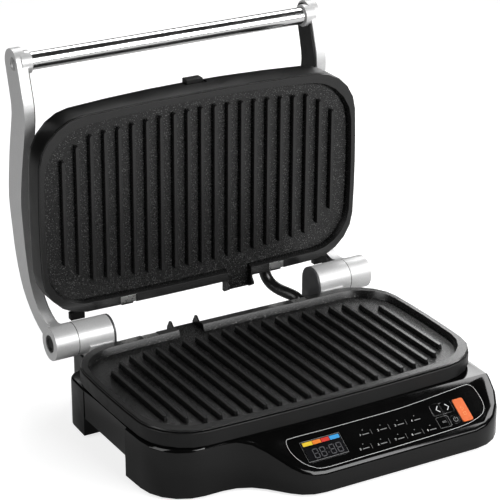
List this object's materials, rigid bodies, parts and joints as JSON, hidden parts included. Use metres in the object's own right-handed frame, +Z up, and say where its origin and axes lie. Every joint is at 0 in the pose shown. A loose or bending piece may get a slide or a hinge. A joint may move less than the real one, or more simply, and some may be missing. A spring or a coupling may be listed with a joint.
{
  "type": "electric contact grill",
  "caption": "Countertop contact grill: ribbed lower plate on a low black base with a sloping key panel, and a ribbed floating head on a silver arm frame that folds down over it.",
  "frame": {"origin": "centre of the bottom of the open grill's bounding box, on the plane that its feet stand on", "axes": "+X to the user's right along the lid's hinge axis, +Y to the rear, +Z up"},
  "size_m": [0.34, 0.3626, 0.3269],
  "materials": {
    "gloss_black_plastic": "gloss",
    "satin_black_plastic": "satin",
    "non_stick_casting": "speckled non-stick coating",
    "satin_silver_casting": "satin silver",
    "polished_steel": "polished",
    "dark_grey_plastic": "satin",
    "plain_steel": "plain",
    "element_steel": "oxidised",
    "reflector_sheet": "bright sheet",
    "circuit_board": "solder mask",
    "orange_key": "gloss",
    "smoked_lens": "gloss",
    "rubber": "matt",
    "conduit_sleeve": "gloss"
  },
  "bodies": {
    "base": {"base_conduit_gland": "satin_black_plastic", "base_shell": "gloss_black_plastic", "bottom_cover": "satin_black_plastic", "conduit": "conduit_sleeve", "control_board": "circuit_board", "control_fascia": "gloss_black_plastic", "cord_inlet_gland": "rubber", "display_window": "smoked_lens", "foot_front_left": "rubber", "foot_front_right": "rubber", "foot_rear_left": "rubber", "foot_rear_right": "rubber", "hinge_axle_left": "plain_steel", "hinge_axle_right": "plain_steel", "hinge_end_cap_left": "dark_grey_plastic", "hinge_end_cap_right": "dark_grey_plastic", "hinge_post_left": "satin_silver_casting", "hinge_post_right": "satin_silver_casting", "lower_heating_element": "element_steel", "lower_plate": "non_stick_casting", "lower_plate_keeper_left": "plain_steel", "lower_plate_keeper_right": "plain_steel", "lower_plate_ring": "satin_black_plastic", "lower_reflector": "reflector_sheet", "lower_thermostat": "plain_steel", "power_board": "circuit_board"},
    "lid_frame": {"arm_inner_cover_left": "satin_black_plastic", "arm_inner_cover_right": "satin_black_plastic", "arm_left": "satin_silver_casting", "arm_right": "satin_silver_casting", "handle_plug_left": "plain_steel", "handle_plug_right": "plain_steel", "handle_screw_left": "polished_steel", "handle_screw_right": "polished_steel", "handle_tube": "polished_steel", "knuckle_cap_left": "satin_black_plastic", "knuckle_cap_right": "satin_black_plastic", "pivot_pin_left": "plain_steel", "pivot_pin_right": "plain_steel"},
    "head": {"head_conduit_gland": "satin_black_plastic", "head_housing": "gloss_black_plastic", "pivot_bush_left": "dark_grey_plastic", "pivot_bush_right": "dark_grey_plastic", "upper_heating_element": "element_steel", "upper_plate": "non_stick_casting", "upper_plate_keeper_left": "plain_steel", "upper_plate_keeper_right": "plain_steel", "upper_reflector": "reflector_sheet", "upper_thermostat": "plain_steel"},
    "drip_tray": {"drip_tray": "satin_black_plastic"},
    "lower_plate_latch": {"lower_plate_latch": "satin_black_plastic"},
    "next_key": {"next_key": "gloss_black_plastic"},
    "power_key": {"power_key": "gloss_black_plastic"},
    "previous_key": {"previous_key": "gloss_black_plastic"},
    "start_key": {"start_key": "orange_key"},
    "unit_key": {"unit_key": "gloss_black_plastic"},
    "upper_plate_latch": {"upper_plate_latch": "satin_black_plastic"}
  },
  "joints": [
    {"name": "lid_hinge", "type": "hinge", "parent": "base", "child": "lid_frame", "pos_m": [0, 0.07921, 0.069], "axis": [1, 0, 0], "range_deg": [0, 95.07], "deforming": ["conduit"]},
    {"name": "head_tilt", "type": "hinge", "parent": "lid_frame", "child": "head", "pos_m": [0, 0.1621, 0.21455], "axis": [1, 0, 0], "range_deg": [-5.75, 0]},
    {"name": "upper_plate_latch_press", "type": "slide", "parent": "head", "child": "upper_plate_latch", "axis": [0, 0.0117, -0.9999], "range_m": [0, 0.003], "stiffness_N_per_m": 400, "springref_m": -0.003},
    {"name": "lower_plate_latch_press", "type": "slide", "parent": "base", "child": "lower_plate_latch", "axis": [-1, 0, 0], "range_m": [0, 0.0024], "stiffness_N_per_m": 400, "springref_m": -0.003},
    {"name": "drip_tray_slide", "type": "slide", "parent": "base", "child": "drip_tray", "axis": [0, 1, 0], "range_m": [0, 0.05]},
    {"name": "start_key_press", "type": "slide", "parent": "base", "child": "start_key", "axis": [0, 0.5446, -0.8387], "range_m": [0, 0.0008], "stiffness_N_per_m": 600, "springref_m": -0.001},
    {"name": "previous_key_press", "type": "slide", "parent": "base", "child": "previous_key", "axis": [0, 0.5446, -0.8387], "range_m": [0, 0.0008], "stiffness_N_per_m": 600, "springref_m": -0.001},
    {"name": "next_key_press", "type": "slide", "parent": "base", "child": "next_key", "axis": [0, 0.5446, -0.8387], "range_m": [0, 0.0008], "stiffness_N_per_m": 600, "springref_m": -0.001},
    {"name": "unit_key_press", "type": "slide", "parent": "base", "child": "unit_key", "axis": [0, 0.5446, -0.8387], "range_m": [0, 0.0008], "stiffness_N_per_m": 600, "springref_m": -0.001},
    {"name": "power_key_press", "type": "slide", "parent": "base", "child": "power_key", "axis": [0, 0.5446, -0.8387], "range_m": [0, 0.0008], "stiffness_N_per_m": 600, "springref_m": -0.001}
  ],
  "couplings": [
    {"joint": "head_tilt", "follows": "lid_hinge", "ratio": -0.060377}
  ]
}
